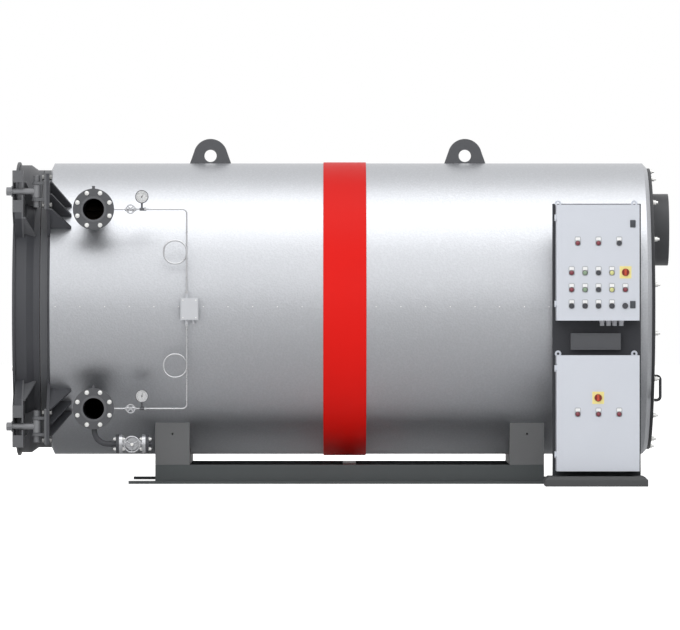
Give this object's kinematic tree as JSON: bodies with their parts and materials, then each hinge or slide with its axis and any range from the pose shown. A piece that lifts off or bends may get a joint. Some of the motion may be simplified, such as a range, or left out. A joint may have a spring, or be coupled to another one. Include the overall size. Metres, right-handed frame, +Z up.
{
  "type": "industrial boiler",
  "caption": "Lagged horizontal shell boiler on a skid, with a swinging burner door, flanged branches, a flue spigot and two wall-type control cabinets on a stand.",
  "frame": {"origin": "on the floor, at the middle of the skid's underside, on its middle cross member", "axes": "+X from the burner door to the flue end along the vessel, +Z up; the branches and the cabinets are on the -Y side"},
  "size_m": [4.06, 2.205, 2.1228],
  "materials": {
    "lagging_sheet": "stucco-embossed sheet",
    "band_red": "satin red",
    "vessel_steel": "mill scale, sooted",
    "boiler_paint": "satin dark grey",
    "zinc_steel": "zinc plated",
    "refractory": "cast refractory",
    "sealing_rope": "braided glass rope",
    "skid_paint": "satin dark grey",
    "valve_metal": "silver paint",
    "stainless_tube": "drawn tube",
    "cabinet_paint": "fine textured light grey",
    "control_plastic": "moulded"
  },
  "bodies": {
    "boiler": {"cladding_front_upper": "lagging_sheet", "cladding_front_lower": "lagging_sheet", "cladding_rear_upper": "lagging_sheet", "cladding_rear_lower": "lagging_sheet", "cladding_caps": "lagging_sheet", "red_band": "band_red", "pressure_shell": "vessel_steel", "front_tube_plate": "vessel_steel", "rear_tube_plate": "vessel_steel", "furnace": "vessel_steel", "smoke_tubes": "vessel_steel", "front_ring": "boiler_paint", "rear_flange": "boiler_paint", "rear_cover": "boiler_paint", "flue_collar": "boiler_paint", "rear_cover_handles": "boiler_paint", "ear_brackets": "boiler_paint", "door_clevises": "boiler_paint", "lifting_lugs": "boiler_paint", "supply_nozzle": "boiler_paint", "return_nozzle": "boiler_paint", "drain_pipe": "boiler_paint", "drain_outlet": "boiler_paint", "clevis_pins": "zinc_steel", "mounting_plates": "zinc_steel", "saddles": "skid_paint", "skid_beams": "skid_paint", "sole_plates": "skid_paint", "skid_cross_members": "skid_paint", "cabinet_stand": "skid_paint", "cabinet_plinth": "skid_paint", "terminal_box": "skid_paint", "drain_valve": "valve_metal", "impulse_pipes": "stainless_tube", "gauge_valves": "stainless_tube", "pressure_gauges": "stainless_tube", "upper_cabinet": "cabinet_paint", "lower_cabinet": "cabinet_paint", "transmitter_box": "cabinet_paint", "cable_glands": "control_plastic"},
    "door": {"door_plate": "boiler_paint", "door_barrel": "boiler_paint", "door_lining": "refractory", "door_gasket": "sealing_rope", "door_lugs": "boiler_paint", "burner_plate": "boiler_paint", "far_hinge_bolts": "zinc_steel"},
    "swing_bolt_upper": {"swing_bolt_upper": "zinc_steel"},
    "swing_bolt_lower": {"swing_bolt_lower": "zinc_steel"},
    "drain_handwheel": {"drain_handwheel": "valve_metal"},
    "upper_cabinet_door": {"upper_cabinet_door": "cabinet_paint", "upper_controls": "control_plastic"},
    "lower_cabinet_door": {"lower_cabinet_door": "cabinet_paint", "lower_controls": "control_plastic"}
  },
  "joints": [
    {"name": "door_hinge", "type": "hinge", "parent": "boiler", "child": "door", "pos_m": [-1.902, 0.885, 1.07], "axis": [0, 0, -1], "range_deg": [0, 95]},
    {"name": "upper_bolt_swing", "type": "hinge", "parent": "boiler", "child": "swing_bolt_upper", "pos_m": [-1.902, -0.885, 1.784], "axis": [0, 0, 1], "range_deg": [0, 90]},
    {"name": "lower_bolt_swing", "type": "hinge", "parent": "boiler", "child": "swing_bolt_lower", "pos_m": [-1.902, -0.885, 0.356], "axis": [0, 0, 1], "range_deg": [0, 90]},
    {"name": "handwheel_turn", "type": "hinge", "parent": "boiler", "child": "drain_handwheel", "pos_m": [-1.32, -1.03, 0.25], "axis": [0, -1, 0], "range_deg": [0, 1080]},
    {"name": "upper_door_hinge", "type": "hinge", "parent": "boiler", "child": "upper_cabinet_door", "pos_m": [1.241, -1.161, 1.35], "axis": [0, 0, -1], "range_deg": [0, 120]},
    {"name": "lower_door_hinge", "type": "hinge", "parent": "boiler", "child": "lower_cabinet_door", "pos_m": [1.241, -1.161, 0.44], "axis": [0, 0, -1], "range_deg": [0, 120]}
  ]
}
